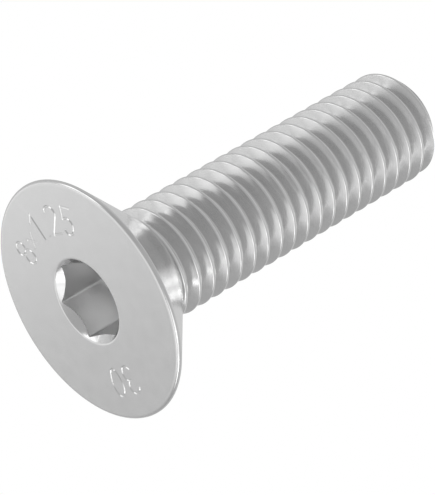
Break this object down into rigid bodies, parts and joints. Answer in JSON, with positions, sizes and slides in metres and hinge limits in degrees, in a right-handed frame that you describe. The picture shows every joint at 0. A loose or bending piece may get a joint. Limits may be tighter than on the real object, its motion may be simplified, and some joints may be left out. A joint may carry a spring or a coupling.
{
  "type": "countersunk socket screw",
  "caption": "Countersunk machine screw with a flat head, a hexagon socket and a metric thread up to the head, standing on its head.",
  "frame": {"origin": "centre of the flat face of the head, on the surface that the screw stands on", "axes": "+Z from the face of the head to the point, along the screw; +X towards a corner of the hexagon"},
  "size_m": [0.0166, 0.0166, 0.0296],
  "materials": {
    "screw": "plain stainless steel: satin face, smooth rolled thread"
  },
  "bodies": {
    "root": {"screw": "screw"}
  },
  "joints": []
}
